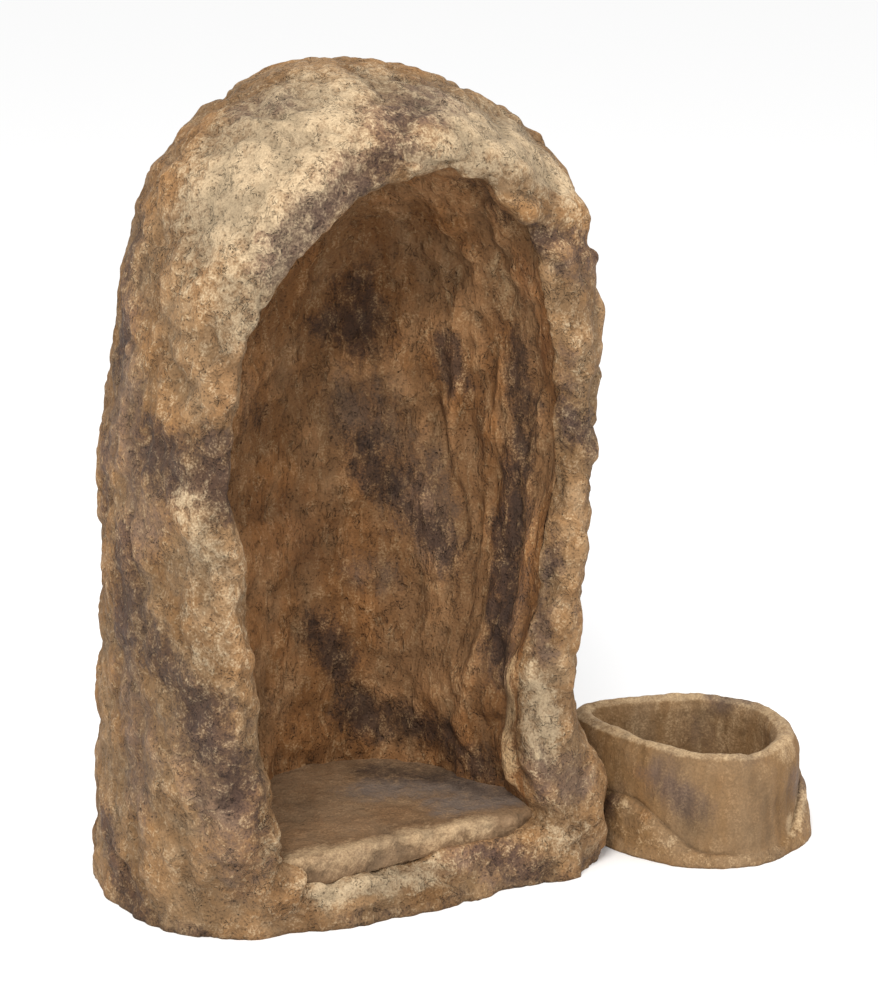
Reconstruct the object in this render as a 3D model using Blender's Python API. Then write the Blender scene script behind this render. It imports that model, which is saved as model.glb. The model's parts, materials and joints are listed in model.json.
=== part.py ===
"""Garden grotto in cast resin: a hooded rock niche with a loose water basin beside it.

Metres, +Z up. The niche opens towards -Y. The origin is the middle of the grotto's footprint,
on the ground.
"""

import math

import bmesh
import bpy
import numpy as np

# Sizes that drive the model
GAP = 0.0003            # clearance between touching pieces
SKIN = 0.009            # wall of the outer rock skin
LINER = 0.006           # wall of the cave skin
SEAM_Y = 0.055          # upright seam between the front and rear skins
LINER_SEAM_X = 0.0      # upright seam of the cave skin, then the heights of its level seams
LINER_BANDS = (("foot", 0.270), ("waist", 0.480), ("shoulder", 0.680), ("crown", 1.200))
AROUND = 72             # points round each outline of the grotto
HUB = (0.0, 0.45)       # x, z of the point that every outline goes round
PAN_Z = 0.057           # top of the pan under the niche floor
FLOOR_Z = 0.0875        # top of the niche floor
LIP_Y = -0.170          # front of the niche floor's lip
FLOOR_CLEAR = 0.005     # space between the floor slab and the cave wall
PLATE = 0.010           # thickness of the base plate
BOND = 0.006            # space round the base plate for its bond

BASIN_AT = (0.446, -0.152)   # middle of the bowl on the ground
BASIN_HEIGHT = 0.146
BASIN_FLOOR = 0.026          # height of the water side of the bowl's bottom
BASIN_AROUND = 60
CHANNEL_RISE = 0.060         # how far the channel's bed lies above the bowl's bottom
CHANNEL_AT = math.radians(137)   # direction of the inlet channel, from +X

# Outline of the bowl's wall, then of its water side: direction in degrees from +X, radius
WALL = [
    (0, 0.108), (40, 0.110), (70, 0.114), (93, 0.123), (108, 0.138), (122, 0.160),
    (133, 0.186), (140, 0.190), (150, 0.170), (160, 0.148), (172, 0.131), (185, 0.120),
    (205, 0.111), (242, 0.107), (280, 0.107), (330, 0.108),
]
WATER = [
    (0, 0.078), (40, 0.080), (80, 0.083), (100, 0.092), (116, 0.108), (129, 0.144),
    (137, 0.160), (145, 0.144), (153, 0.118), (165, 0.103), (178, 0.098), (188, 0.092),
    (198, 0.082), (215, 0.080), (260, 0.080), (300, 0.078),
]

# Height of the collar round the basin's foot, by direction in degrees from +X
COLLAR = [
    (0, 0.080), (40, 0.055), (90, 0.045), (150, 0.060), (182, 0.072), (205, 0.046),
    (228, 0.016), (258, 0.012), (294, 0.013), (312, 0.032), (335, 0.074),
]

# Edge of the opening, x and z, from the sill clockwise as seen from the front
OPENING = [
    (0.000, 0.057), (-0.110, 0.057), (-0.150, 0.070), (-0.168, 0.140),
    (-0.186, 0.250), (-0.196, 0.390), (-0.210, 0.510), (-0.212, 0.600),
    (-0.186, 0.700), (-0.148, 0.770), (-0.085, 0.834), (-0.015, 0.868),
    (0.060, 0.884), (0.115, 0.864), (0.163, 0.810), (0.194, 0.730),
    (0.205, 0.620), (0.198, 0.480), (0.180, 0.360), (0.152, 0.240),
    (0.148, 0.160), (0.170, 0.090), (0.148, 0.060), (0.080, 0.057),
]

# Widest outline of the rock. It runs on below the ground, where it is cut off flat.
WIDEST = [
    (0.010, -0.300), (-0.200, -0.280), (-0.296, -0.160), (-0.312, 0.000),
    (-0.304, 0.120), (-0.294, 0.250), (-0.290, 0.400), (-0.282, 0.550),
    (-0.260, 0.680), (-0.236, 0.800), (-0.190, 0.894), (-0.105, 0.960),
    (0.010, 0.988), (0.115, 0.968), (0.205, 0.932), (0.266, 0.880),
    (0.296, 0.800), (0.305, 0.710), (0.302, 0.620), (0.288, 0.520),
    (0.274, 0.420), (0.264, 0.300), (0.262, 0.190), (0.268, 0.090),
    (0.272, 0.000), (0.270, -0.080), (0.265, -0.190), (0.190, -0.280),
]

# Sections of the rock from the opening's edge outwards: share of the way from the opening to
# the widest outline, then the depth y at the sides, at the top and at the sill
FRONT_RINGS = [
    (0.00, -0.150, -0.140, -0.162),
    (0.04, -0.160, -0.150, -0.186),
    (0.12, -0.170, -0.157, -0.203),
    (0.22, -0.178, -0.158, -0.207),
    (0.40, -0.182, -0.150, -0.205),
    (0.62, -0.170, -0.122, -0.190),
    (0.84, -0.135, -0.072, -0.150),
    (1.00, -0.075, -0.015, -0.100),
]

# Sections behind it: share of the widest outline, then the same three depths
REAR_RINGS = [
    (1.010, 0.000, 0.050, 0.000),
    (0.985, 0.075, 0.105, 0.075),
    (0.900, 0.145, 0.155, 0.145),
    (0.720, 0.185, 0.185, 0.185),
    (0.400, 0.202, 0.202, 0.202),
]
REAR_POLE_Y = 0.205

# Sections of the cave: depth y, then the opening's width and height shares there
CAVE_RINGS = [
    (-0.130, 1.045, 1.008),
    (-0.090, 1.030, 1.000),
    (-0.030, 0.930, 0.975),
    (0.020, 0.800, 0.940),
    (0.060, 0.600, 0.880),
    (0.085, 0.360, 0.780),
]
CAVE_POLE_Y = 0.102

# Lumps and hollows of the rock: middle x, y, z, reach, then the shift dx, dy, dz at the middle
LUMPS = [
    (0.255, -0.165, 0.065, 0.085, 0.046, -0.004, 0.000),
    (0.290, -0.080, 0.790, 0.045, -0.008, 0.004, 0.000),
    (0.305, -0.080, 0.700, 0.045, 0.009, -0.003, 0.000),
    (-0.290, -0.120, 0.470, 0.060, 0.008, 0.006, 0.000),
    (-0.250, -0.180, 0.000, 0.110, 0.018, 0.030, 0.000),
    (-0.240, -0.170, 0.320, 0.070, -0.004, -0.007, 0.000),
    (0.020, -0.200, 0.020, 0.070, 0.000, -0.006, 0.000),
    (0.120, -0.205, 0.020, 0.045, 0.000, 0.016, 0.000),
    (-0.120, -0.060, 0.950, 0.070, -0.002, -0.005, 0.008),
    (0.160, -0.080, 0.930, 0.060, 0.000, 0.005, -0.006),
]


def material(name, colour, roughness):
    made = bpy.data.materials.new(name)
    made.use_nodes = True
    shader = made.node_tree.nodes["Principled BSDF"]
    shader.inputs["Base Color"].default_value = (*colour, 1)
    shader.inputs["Roughness"].default_value = roughness
    shader.inputs["Metallic"].default_value = 0
    return made


def smooth_loop(points, per_span=12):
    """Closed Catmull-Rom curve through the points."""
    p = np.array(points, float)
    before, after, beyond = np.roll(p, 1, 0), np.roll(p, -1, 0), np.roll(p, -2, 0)
    spans = []
    for t in np.arange(per_span) / per_span:
        spans.append(catmull(before, p, after, beyond, t))
    return np.stack(spans, 1).reshape(-1, p.shape[1])


def catmull(a, b, c, d, t):
    return 0.5 * (
        2 * b + (c - a) * t + (2 * a - 5 * b + 4 * c - d) * t**2
        + (3 * b - a - 3 * c + d) * t**3
    )


def radii(points):
    """Distance from the hub to a closed outline, at AROUND even angles."""
    loop = smooth_loop(points) - HUB
    angle = np.arctan2(loop[:, 1], loop[:, 0])
    return np.interp(ANGLES, angle, np.hypot(loop[:, 0], loop[:, 1]), period=2 * math.pi)


ANGLES = np.arange(AROUND) * 2 * math.pi / AROUND
UP = np.clip(np.sin(ANGLES), 0, 1) ** 2
DOWN = np.clip(-np.sin(ANGLES), 0, 1) ** 2


def ring(radius, y):
    return np.stack(
        [HUB[0] + radius * np.cos(ANGLES), y + 0 * ANGLES, HUB[1] + radius * np.sin(ANGLES)], 1
    )


def depth(side, top, sill):
    return side + (top - side) * UP + (sill - side) * DOWN


def rings_between(rows, steps):
    """Rows of a surface with smooth rows added between them."""
    rows = np.array(rows)
    first = 2 * rows[0] - rows[1]
    last = 2 * rows[-1] - rows[-2]
    padded = np.concatenate([[first], rows, [last]])
    result = []
    for k in range(len(rows) - 1):
        for t in np.arange(steps[k]) / steps[k]:
            result.append(catmull(*padded[k : k + 4], t))
    result.append(rows[-1])
    return np.array(result)


def normals(rows):
    """Unit normals of a grid of rings, pointing away from the hub side."""
    across = np.gradient(rows, axis=0)
    along = np.roll(rows, -1, 1) - np.roll(rows, 1, 1)
    result = np.cross(across, along)
    length = np.linalg.norm(result, axis=2, keepdims=True)
    return result / np.maximum(length, 1e-9)


def thickened(rows, wall):
    """Rows moved outwards so far that the flat faces between them keep the wall's thickness."""
    surface = bmesh.new()
    corners = [surface.verts.new(p) for p in rows.reshape(-1, 3)]
    for face in grid_faces(len(rows), rows.shape[1], range(len(rows))):
        surface.faces.new([corners[i] for i in face])
    surface.normal_update()
    facing = np.array([v.normal * min(v.calc_shell_factor(), 1.6) for v in corners])
    facing = facing.reshape(rows.shape)
    surface.free()
    return rows + wall * facing * np.sign((facing * normals(rows)).sum())


def rock_rows():
    """Outer face of the rock, from the opening's edge to near the rear pole."""
    opening, widest = radii(OPENING), radii(WIDEST)
    rows = []
    for share, side, top, sill in FRONT_RINGS:
        rows.append(ring(opening + share * (widest - opening), depth(side, top, sill)))
    for share, side, top, sill in REAR_RINGS:
        rows.append(ring(share * widest, depth(side, top, sill)))
    rows = rings_between(rows, [1, 1, 1, 1, 2, 2, 2, 2, 2, 2, 2, 2])
    # The opening's edge stays where the liner and the floor meet it.
    hold = np.clip(np.arange(len(rows)) / 3, 0, 1)[:, None, None]
    for x, y, z, reach, *shift in LUMPS:
        distance = np.linalg.norm(rows - (x, y, z), axis=2)
        rows = rows + hold * np.exp(-((distance / reach) ** 2))[..., None] * shift
    return rows


def cave_rows():
    """Cave side of the liner, from the opening's edge to near its rear pole."""
    rows = [ring(radii(OPENING), depth(*FRONT_RINGS[0][1:]) + GAP)]
    for y, wide, high in CAVE_RINGS:
        outline = [(x * wide, PAN_Z + (z - PAN_Z) * high) for x, z in OPENING]
        rows.append(ring(radii(outline), y))
    rows.append(ring(0.5 * radii(outline), CAVE_POLE_Y - 0.005))
    return rings_between(rows, [1, 2, 2, 2, 2, 2, 1])


def mesh_object(name, points, faces, shader=None):
    mesh = bpy.data.meshes.new(name)
    mesh.from_pydata([tuple(p) for p in points], [], faces)
    made = bpy.data.objects.new(name, mesh)
    bpy.context.scene.collection.objects.link(made)
    shell = bmesh.new()
    shell.from_mesh(mesh)
    bmesh.ops.recalc_face_normals(shell, faces=shell.faces)
    if shell.calc_volume(signed=True) < 0:
        bmesh.ops.reverse_faces(shell, faces=shell.faces)
    shell.to_mesh(mesh)
    shell.free()
    if shader:
        mesh.materials.append(shader)
        mesh.shade_smooth()
    return made


def grid_faces(row_count, around, flipped=()):
    """Triangles of a grid of rings. The quads of the bands in flipped split the other way."""
    faces = []
    for k in range(row_count - 1):
        for i in range(around):
            j = (i + 1) % around
            a = k * around
            b = a + around
            if k in flipped:
                faces += [(a + i, a + j, b + i), (a + j, b + j, b + i)]
            else:
                faces += [(a + i, a + j, b + j), (a + i, b + j, b + i)]
    return faces


def closed_grid(name, rows, first_pole, last_pole, shader=None, flipped=()):
    """Closed solid: a grid of rings with a point at each end."""
    rows = np.asarray(rows)
    around = rows.shape[1]
    points = list(rows.reshape(-1, 3)) + [first_pole, last_pole]
    faces = grid_faces(len(rows), around, flipped)
    last = (len(rows) - 1) * around
    for i in range(around):
        j = (i + 1) % around
        faces.append((j, i, len(points) - 2))
        faces.append((last + i, last + j, len(points) - 1))
    return mesh_object(name, points, faces, shader)


def bowl_shell(name, face_rows, face_pole, back_rows, back_pole, shader, even=False):
    """Thick bowl: its two faces are grids of rings, joined at their first rings.

    An even one has its triangles back to back, so that its wall stays as thick between them.
    """
    rows = np.concatenate([face_rows[::-1], back_rows])
    flipped = range(len(face_rows), len(rows)) if even else ()
    return closed_grid(name, rows, face_pole, back_pole, shader, flipped)


def block(name, low, high):
    corners = [(x, y, z) for z in (low[2], high[2]) for y in (low[1], high[1])
               for x in (low[0], high[0])]
    faces = [(0, 2, 3, 1), (4, 5, 7, 6), (0, 1, 5, 4), (2, 6, 7, 3), (0, 4, 6, 2), (1, 3, 7, 5)]
    return helper(mesh_object(name, corners, faces))


def helper(obj):
    obj.hide_render = True
    obj.display_type = "WIRE"
    obj.hide_set(True)
    return obj


def boolean(obj, other, operation):
    cut = obj.modifiers.new(operation.title(), "BOOLEAN")
    cut.operation = operation
    cut.solver = "EXACT"
    cut.object = other


def edge_row(radius_step, y_step):
    """The opening's edge again, moved outwards and backwards."""
    return ring(radii(OPENING) + radius_step, depth(*FRONT_RINGS[0][1:]) + y_step)


def rock_inside(rows, wall):
    """Back of the rock skin: rows of the outer face moved in by the wall's thickness."""
    return (rows - wall * normals(rows))[3::2]


def make_hood(shader_front, shader_rear):
    rows = rock_rows()
    pole = (HUB[0], REAR_POLE_Y, HUB[1])
    inner = np.concatenate([[edge_row(SKIN - 0.001, 0)], rock_inside(rows, SKIN)])
    inner_pole = (HUB[0], REAR_POLE_Y - SKIN, HUB[1])
    for name, shader, low_y, high_y in (
        ("hood_front", shader_front, -0.5, SEAM_Y - GAP / 2),
        ("hood_rear", shader_rear, SEAM_Y + GAP / 2, 0.5),
    ):
        hood = bowl_shell(name, rows, pole, inner, inner_pole, shader)
        room = block(name + "_room", (-0.6, low_y, 0.0), (0.6, high_y, 1.2))
        boolean(hood, room, "INTERSECT")


def make_liner(shader):
    """Cave skin in eight panels: four bands up the cave, each in a left and a right half."""
    rows = cave_rows()
    outer = thickened(rows, LINER)
    outer[0] = edge_row(LINER, GAP)
    low = 0.0
    for band, high in LINER_BANDS:
        for side, left, right in (("left", -0.6, LINER_SEAM_X), ("right", LINER_SEAM_X, 0.6)):
            name = f"liner_{side}_{band}"
            panel = bowl_shell(
                name, rows, (HUB[0], CAVE_POLE_Y, HUB[1]),
                outer, (HUB[0], CAVE_POLE_Y + LINER, HUB[1]), shader, even=True,
            )
            room = block(
                name + "_room",
                (left + GAP / 2, -0.6, low + GAP / 2), (right - GAP / 2, 0.6, high - GAP / 2),
            )
            boolean(panel, room, "INTERSECT")
        low = high


def make_floor(shader):
    """Slab cut to the cave's plan, with its lip standing proud of the sill."""
    rows = cave_rows()
    rows = rows - FLOOR_CLEAR * normals(rows)
    front = rows[0].copy()
    front[:, 1] = -0.190
    rows = np.concatenate([[front], rows])[::-1]
    rear = (HUB[0], CAVE_POLE_Y - FLOOR_CLEAR, HUB[1])
    floor = closed_grid("niche_floor", rows, rear, (HUB[0], -0.190, HUB[1]), shader)
    plan = [(0.24, 0.15), (-0.24, 0.15), (-0.24, -0.152), (-0.155, -0.156)]
    for x in np.linspace(-0.125, 0.135, 8):
        plan.append((x, LIP_Y + 0.004 * math.cos(x * 26)))
    plan += [(0.165, -0.156), (0.24, -0.152)]
    slab = bmesh.new()
    corners = [slab.verts.new((x, y, PAN_Z + 2 * GAP)) for x, y in plan]
    base = slab.faces.new(corners)
    top = bmesh.ops.extrude_face_region(slab, geom=[base])["geom"]
    raised = [v for v in top if isinstance(v, bmesh.types.BMVert)]
    bmesh.ops.translate(slab, verts=raised, vec=(0, 0, FLOOR_Z - PAN_Z - 2 * GAP))
    edges = [e for e in slab.edges if all(v in raised and v.co.y < -0.15 for v in e.verts)]
    bmesh.ops.bevel(slab, geom=edges, offset=0.007, segments=3, affect="EDGES", profile=0.5)
    bmesh.ops.recalc_face_normals(slab, faces=slab.faces)
    mesh = bpy.data.meshes.new("floor_plan")
    slab.to_mesh(mesh)
    slab.free()
    plan_block = bpy.data.objects.new("floor_plan", mesh)
    bpy.context.scene.collection.objects.link(plan_block)
    boolean(floor, helper(plan_block), "INTERSECT")


def make_base_plate(shader):
    edge = edge_row(SKIN + BOND, BOND)
    rows = np.concatenate([[edge], rock_inside(rock_rows(), SKIN + BOND)])
    rear = (HUB[0], REAR_POLE_Y - SKIN - BOND, HUB[1])
    plate = closed_grid("base_plate", rows, (HUB[0], -0.15, HUB[1]), rear, shader)
    boolean(plate, block("plate_room", (-0.6, -0.6, 0.0), (0.6, 0.6, PLATE)), "INTERSECT")


BASIN_ANGLES = np.arange(BASIN_AROUND) * 2 * math.pi / BASIN_AROUND
WOBBLE = 0.0015 * np.sin(3 * BASIN_ANGLES + 0.6) + 0.0010 * np.sin(7 * BASIN_ANGLES)


def by_direction(points):
    """Values given at some directions, smoothly at every basin angle."""
    at, value = zip(*points)
    result = np.interp(np.degrees(BASIN_ANGLES), at, value, period=360)
    return (np.roll(result, 1) + 2 * result + np.roll(result, -1)) / 4


def channel(width):
    """1 along the inlet channel, falling to 0 away from it."""
    away = (BASIN_ANGLES - CHANNEL_AT + math.pi) % (2 * math.pi) - math.pi
    return np.exp(-((away / width) ** 2))


def basin_ring(radius, z):
    return np.stack([radius * np.cos(BASIN_ANGLES), radius * np.sin(BASIN_ANGLES),
                     z + 0 * BASIN_ANGLES], 1)


def bowl_side(z):
    """Outline of the bowl's outer wall at a height. It flares at the ground."""
    flare = 0.007 * np.clip(1 - np.asarray(z) / 0.055, 0, 1) ** 2
    belly = 0.003 * np.sin(math.pi * np.asarray(z) / BASIN_HEIGHT)
    return by_direction(WALL) + WOBBLE + flare + belly


def make_basin_bowl(shader, root):
    top = BASIN_HEIGHT - 0.006 + 0.006 * np.cos(BASIN_ANGLES - math.radians(105))
    outer = [basin_ring(bowl_side(0.0) * share, 0.0) for share in (0.5, 0.975)]
    outer += [basin_ring(bowl_side(z), z) for z in (0.004, 0.018, 0.040, 0.075, 0.110)]
    side = bowl_side(0.128)
    inner = by_direction(WATER) + WOBBLE
    rim = [
        basin_ring(side - 0.0015, top - 0.016),
        basin_ring(side - 0.0070, top - 0.005),
        basin_ring(0.5 * (side + inner), top),
        basin_ring(inner + 0.0045, top - 0.005),
        basin_ring(inner, top - 0.016),
    ]
    bed = BASIN_FLOOR + CHANNEL_RISE * channel(0.36)
    water = [
        basin_ring(inner * 0.985, bed + 0.040),
        basin_ring(inner * 0.95, bed + 0.016),
        basin_ring(inner * 0.86, bed + 0.004),
        basin_ring(inner * 0.50, BASIN_FLOOR + 0.3 * (bed - BASIN_FLOOR)),
    ]
    bowl = closed_grid(
        "basin_bowl", outer + rim + water, (0, 0, 0), (0, 0, BASIN_FLOOR), shader
    )
    bowl.parent = root


def make_basin_skirt(shader, root):
    """Rough collar, high beside the grotto and at the right, and low in front."""
    height = by_direction(COLLAR)
    foot = (0.0045 + 0.12 * height) * (1 - 0.65 * channel(1.0))
    rows = []
    for share, out in ((0, 0), (0, 0.9), (0.12, 1), (0.45, 0.9), (0.8, 0.6), (1, 0.15)):
        z = height * share
        rows.append(basin_ring(bowl_side(z) + 2 * GAP + 0.0004 + foot * out, z))
    for share in (0.97, 0.45):
        z = height * share
        rows.append(basin_ring(bowl_side(z) + 2 * GAP, z))
    faces = grid_faces(len(rows), BASIN_AROUND)
    last = (len(rows) - 1) * BASIN_AROUND
    for i in range(BASIN_AROUND):
        j = (i + 1) % BASIN_AROUND
        faces += [(last + i, last + j, j), (last + i, j, i)]
    skirt = mesh_object("basin_skirt", np.array(rows).reshape(-1, 3), faces, shader)
    skirt.parent = root


def main():
    for obj in list(bpy.data.objects):
        bpy.data.objects.remove(obj, do_unlink=True)
    make_hood(
        material("rock_front", (0.46, 0.31, 0.16), 0.88),
        material("rock_rear", (0.34, 0.22, 0.12), 0.90),
    )
    make_liner(material("cave_wall", (0.24, 0.145, 0.075), 0.92))
    make_floor(material("floor_stone", (0.27, 0.20, 0.13), 0.85))
    make_base_plate(material("laminate", (0.17, 0.15, 0.12), 0.70))
    basin = bpy.data.objects.new("basin_origin", None)
    basin.location = (*BASIN_AT, 0.0)
    bpy.context.scene.collection.objects.link(basin)
    make_basin_bowl(material("basin_stone", (0.37, 0.24, 0.125), 0.80), basin)
    make_basin_skirt(material("basin_mortar", (0.42, 0.33, 0.21), 0.90), basin)


main()
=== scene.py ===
"""Looks of the garden grotto and its loose water basin: rock relief, paint, light and camera.

Everything is in metres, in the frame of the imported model. The niche opens towards -Y, and the
basin stands on the +X side.
"""

import json

import bmesh
import bpy
import numpy as np
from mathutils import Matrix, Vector
from mathutils.bvhtree import BVHTree
from mathutils.kdtree import KDTree


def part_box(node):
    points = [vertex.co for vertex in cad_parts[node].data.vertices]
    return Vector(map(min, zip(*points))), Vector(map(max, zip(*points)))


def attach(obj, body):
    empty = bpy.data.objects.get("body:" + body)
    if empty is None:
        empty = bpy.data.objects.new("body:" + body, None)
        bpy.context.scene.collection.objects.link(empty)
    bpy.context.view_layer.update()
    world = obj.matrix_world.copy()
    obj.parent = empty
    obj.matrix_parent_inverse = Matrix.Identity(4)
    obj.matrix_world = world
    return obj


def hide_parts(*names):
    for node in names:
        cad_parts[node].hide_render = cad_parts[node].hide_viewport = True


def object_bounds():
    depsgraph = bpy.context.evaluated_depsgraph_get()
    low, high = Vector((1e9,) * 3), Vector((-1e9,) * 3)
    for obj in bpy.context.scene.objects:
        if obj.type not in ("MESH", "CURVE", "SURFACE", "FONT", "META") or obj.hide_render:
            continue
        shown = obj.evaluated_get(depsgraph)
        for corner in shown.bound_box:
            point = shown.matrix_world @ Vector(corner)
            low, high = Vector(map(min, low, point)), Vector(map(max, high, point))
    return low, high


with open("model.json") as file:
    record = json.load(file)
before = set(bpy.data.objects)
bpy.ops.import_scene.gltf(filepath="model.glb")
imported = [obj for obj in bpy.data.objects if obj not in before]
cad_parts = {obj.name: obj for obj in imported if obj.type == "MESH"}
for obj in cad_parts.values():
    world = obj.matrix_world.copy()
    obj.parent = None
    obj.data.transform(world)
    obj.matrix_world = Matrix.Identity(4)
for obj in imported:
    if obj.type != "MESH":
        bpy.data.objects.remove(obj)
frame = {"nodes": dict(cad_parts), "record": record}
cad_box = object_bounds()

ROCK_GRID = 0.0040
BASIN_GRID = 0.0026
ROCK_GROWS = 0.0024       # how far the pieces grow before they are fused, to close their gaps
BASIN_GROWS = 0.0006
ROCK_ROUNDS = 14          # rounds of smoothing after a fuse
FLOOR_ROUNDS = 3
BASIN_ROUNDS = 10
CUT_ROUNDS = 6            # rounds that even out the line between two pieces
BASIN_TALLER = 1.035      # the rim's worn top stands a little above the plain solid's
GROUND = 0.0035           # the underside: points lower than this stay on the ground
BASIN_GROUND = 0.7 * GROUND
SEAM_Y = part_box("hood_front")[1][1] + 0.00015     # middle of the seam behind the crest
SEAM_BAND = 0.012         # a rim that stays this close to the seam is the seam's own
CAVE_BLEND = 0.012        # half the width over which cave and outer rock change into each other
BASIN_ROOM = 0.040        # the rock's lumps fade out this close to the basin
SLAB_REACH = (0.024, 0.018, 0.0)    # how far the slab's ends and back run into the rock
SLAB_DROP = 0.013         # how far its front edge comes down onto the sill
RELIEF_UNIT = 0.006       # the rock's relief is stored as a share of this height
FINE_UNIT = 0.003         # the same for the slab and the basin
PAINT_WIDER = 1.45        # a stroke's ragged edge needs this much more reach
PAINT_RAGGED = 0.010
SMALLEST_ISLAND = 400     # faces: a smaller patch joins the piece around it

# Lights: place from the middle of the object, size in metres, power in watts, tint
LIGHTS = {
    "key": ((-1.8, -2.2, 2.9), 1.6, 134.0, (1.0, 0.985, 0.955)),
    "fill": ((2.6, -2.6, 1.2), 2.2, 22.0, (0.97, 0.98, 1.0)),
}
WORLD_STRENGTH = 0.98
FLOOR_WHITE = 0.96
CAMERA_LENS = 100.87
CAMERA_AIM = (-0.107, -0.168, 0.0186)       # from the middle of the object
CAMERA_AWAY = (-1.4507, -2.7283, 0.927)     # from the point aimed at
SLOTS = {part["node"]: part["material_slot"] for part in frame["record"]["subparts"]}
CAVE_PANELS = tuple(sorted(node for node, slot in SLOTS.items() if slot == "cave_wall"))


# ---------------------------------------------------------------- noise

def directions(seed):
    made = np.random.default_rng(seed).normal(size=(256, 3))
    return made / np.linalg.norm(made, axis=1, keepdims=True)


def noise(points, size, seed=1):
    """Gradient noise from about -1 to 1. Size is the width of one swell: a number, or x, y, z."""
    q = points / np.array(size)
    cell = np.floor(q).astype(np.int64)
    f = q - cell
    ease = f * f * f * (f * (f * 6 - 15) + 10)
    slopes = directions(seed)
    total = np.zeros(len(points))
    for corner in np.ndindex(2, 2, 2):
        c = cell + corner
        mixed = (c[:, 0] * 73856093) ^ (c[:, 1] * 19349663) ^ (c[:, 2] * 83492791)
        mixed = (mixed ^ (mixed >> 13)) * 1274126177
        slope = slopes[(mixed ^ (mixed >> 16)) & 255]
        weight = np.prod(np.where(corner, ease, 1 - ease), axis=1)
        total += weight * ((f - corner) * slope).sum(1)
    return total * 1.7


def fractal(points, size, octaves, seed=1, gain=0.5):
    total, share = 0, 1.0
    for octave in range(octaves):
        total = total + share * noise(points, np.array(size) / 2 ** octave, seed + octave)
        share *= gain
    return total


def creases(points, size, octaves, seed=1):
    """Sharp valleys between rounded lumps, from about -1 in a valley to 0 on a lump."""
    total, share = 0, 1.0
    for octave in range(octaves):
        folded = np.abs(noise(points, np.array(size) / 2 ** octave, seed + octave))
        total = total - share * np.clip(1 - 3.2 * folded, 0, 1) ** 1.5
        share *= 0.5
    return total


def smoothstep(low, high, x):
    t = np.clip((x - low) / (high - low), 0, 1)
    return t * t * (3 - 2 * t)


def stroke(points, start, end, reach):
    """1 on the line from start to end, fading to 0 at reach from it."""
    a, b = np.array(start), np.array(end)
    along = b - a
    length = max(float(along @ along), 1e-12)
    t = np.clip((points - a) @ along / length, 0, 1)
    gap = np.linalg.norm(points - a - t[:, None] * along, axis=1)
    return 1 - smoothstep(0, 1, gap / reach)


# ---------------------------------------------------------------- meshes

def fused(nodes, grid, grows):
    """One even closed mesh round these CAD nodes, as a bmesh."""
    bm = bmesh.new()
    for name in nodes:
        one = bmesh.new()
        one.from_mesh(frame["nodes"][name].data)
        bmesh.ops.remove_doubles(one, verts=one.verts, dist=1e-5)
        one.normal_update()
        moved = [v.co + v.normal * grows for v in one.verts]
        for v, co in zip(one.verts, moved):
            v.co = co
        part = bpy.data.meshes.new("part")
        one.to_mesh(part)
        one.free()
        bm.from_mesh(part)
    whole = bpy.data.meshes.new("whole")
    bm.to_mesh(whole)
    bm.free()
    obj = bpy.data.objects.new("whole", whole)
    bpy.context.scene.collection.objects.link(obj)
    modifier = obj.modifiers.new("grid", "REMESH")
    modifier.mode = "VOXEL"
    modifier.voxel_size = grid
    graph = bpy.context.evaluated_depsgraph_get()
    even = bpy.data.meshes.new_from_object(obj.evaluated_get(graph))
    bpy.data.objects.remove(obj)
    bm = bmesh.new()
    bm.from_mesh(even)
    return bm


def coordinates(bm):
    return np.array([v.co for v in bm.verts], float)


def set_coordinates(bm, points):
    for v, p in zip(bm.verts, points):
        v.co = p
    bm.normal_update()


def relaxed(bm, points, rounds, still):
    """Taubin smoothing: takes out facets without shrinking. Points in still keep their place."""
    ends = np.array([(e.verts[0].index, e.verts[1].index) for e in bm.edges])
    both = np.concatenate([ends, ends[:, ::-1]])
    count = np.bincount(both[:, 0], minlength=len(points))[:, None]
    free = np.where(still, 0.0, 1.0)[:, None]
    for step in range(2 * rounds):
        factor = 0.50 if step % 2 == 0 else -0.52
        mean = np.stack([np.bincount(both[:, 0], points[both[:, 1], k], len(points))
                         for k in range(3)], 1) / count
        points = points + factor * free * (mean - points)
    return points


def seen_points(bm, points):
    """True for the points of the outside, False for those in the hollow between the skins."""
    wet = points[:, 2] < GROUND
    seen = np.zeros(len(points), bool)
    top = int(points[:, 2].argmax())
    seen[top] = True
    queue = [bm.verts[top]]
    while queue:
        v = queue.pop()
        for e in v.link_edges:
            other = e.other_vert(v)
            if not seen[other.index] and not wet[other.index]:
                seen[other.index] = True
                queue.append(other)
    return seen


def trees(names):
    made = []
    for name in names:
        mesh = frame["nodes"][name].data
        made.append(BVHTree.FromPolygons([v.co for v in mesh.vertices],
                                         [tuple(p.vertices) for p in mesh.polygons]))
    return made


def nearness(points, first, second):
    """Distance to the nodes in first less distance to those in second."""
    far = 1.0
    made = []
    for names in (first, second):
        found = np.full(len(points), far)
        for tree in trees(names):
            here = [tree.find_nearest(p)[3] for p in points]
            found = np.minimum(found, here)
        made.append(found)
    return made[0] - made[1]


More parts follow.
